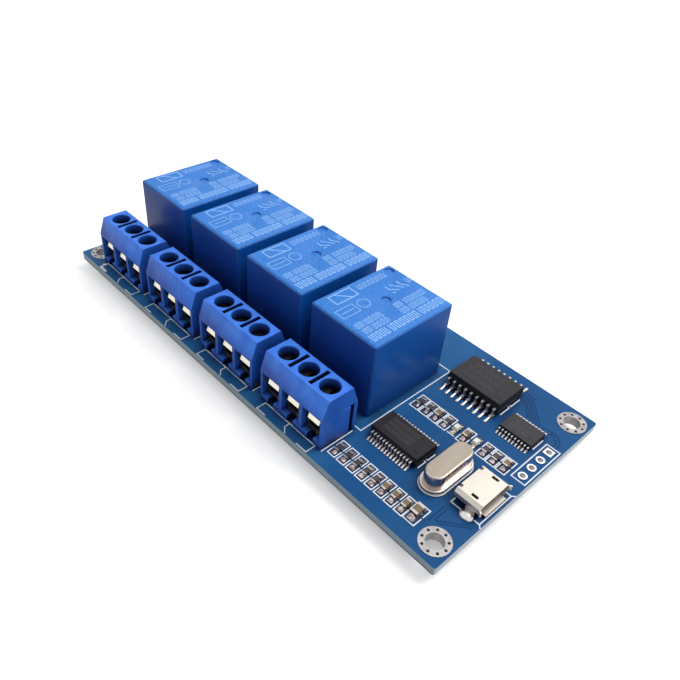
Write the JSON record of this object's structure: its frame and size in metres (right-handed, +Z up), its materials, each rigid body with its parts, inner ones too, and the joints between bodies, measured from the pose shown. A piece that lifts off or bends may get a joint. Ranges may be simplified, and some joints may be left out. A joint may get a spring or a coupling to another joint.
{
  "type": "relay module board",
  "caption": "Circuit board with a row of cube relays behind screw terminals, and chips, a crystal and a small data socket at one end.",
  "frame": {"origin": "centre of the mounting-hole pattern on the underside of the board", "axes": "+X along the board towards the data socket, +Y from the screw terminals to the back edge, +Z up from the board's component side"},
  "size_m": [0.102, 0.044, 0.0192],
  "materials": {
    "laminate": "blue solder mask over glass laminate, satin gloss",
    "tinned_copper": "hot tinned copper, bright",
    "solder": "bright solder",
    "relay_plastic": "moulded blue plastic, satin",
    "relay_base": "black moulded base, sealed with resin",
    "tinned_pin": "tinned copper pin",
    "terminal_plastic": "moulded blue polyamide, satin",
    "cage_metal": "nickel plated brass",
    "screw_metal": "zinc plated steel, yellowish",
    "leaf_metal": "tinned bronze strip",
    "chip_plastic": "black moulded epoxy",
    "tinned_lead": "tinned lead frame",
    "can_metal": "drawn steel can, nickel plated",
    "socket_shell": "folded stainless sheet",
    "socket_plastic": "black moulded insert",
    "gold_contact": "gold plated contact",
    "resistor_body": "black resistive film and glaze on ceramic",
    "end_cap": "tinned end cap",
    "capacitor_ceramic": "tan fired ceramic",
    "led_body": "white moulded base",
    "led_end": "gold plated end",
    "led_lens": "clear yellowish epoxy"
  },
  "bodies": {
    "root": {"pcb": "laminate", "mounting_lands": "tinned_copper", "header_lands": "tinned_copper", "smd_lands": "tinned_copper", "solder_joints": "solder", "relay_1_cover": "relay_plastic", "relay_2_cover": "relay_plastic", "relay_3_cover": "relay_plastic", "relay_4_cover": "relay_plastic", "relay_1_base": "relay_base", "relay_2_base": "relay_base", "relay_3_base": "relay_base", "relay_4_base": "relay_base", "relay_1_pins": "tinned_pin", "relay_2_pins": "tinned_pin", "relay_3_pins": "tinned_pin", "relay_4_pins": "tinned_pin", "terminal_1_housing": "terminal_plastic", "terminal_2_housing": "terminal_plastic", "terminal_3_housing": "terminal_plastic", "terminal_4_housing": "terminal_plastic", "terminal_1_cages": "cage_metal", "terminal_2_cages": "cage_metal", "terminal_3_cages": "cage_metal", "terminal_4_cages": "cage_metal", "terminal_1_screws": "screw_metal", "terminal_2_screws": "screw_metal", "terminal_3_screws": "screw_metal", "terminal_4_screws": "screw_metal", "terminal_1_leaves": "leaf_metal", "terminal_2_leaves": "leaf_metal", "terminal_3_leaves": "leaf_metal", "terminal_4_leaves": "leaf_metal", "driver_chip_body": "chip_plastic", "driver_chip_leads": "tinned_lead", "bridge_chip_body": "chip_plastic", "bridge_chip_leads": "tinned_lead", "logic_chip_body": "chip_plastic", "logic_chip_leads": "tinned_lead", "crystal_can": "can_metal", "crystal_base": "can_metal", "crystal_leads": "tinned_pin", "usb_shell": "socket_shell", "usb_tongue": "socket_plastic", "usb_contacts": "gold_contact", "resistor_bodies": "resistor_body", "resistor_ends": "end_cap", "capacitor_bodies": "capacitor_ceramic", "capacitor_ends": "end_cap", "led_bodies": "led_body", "led_ends": "led_end", "led_lenses": "led_lens"}
  },
  "joints": []
}
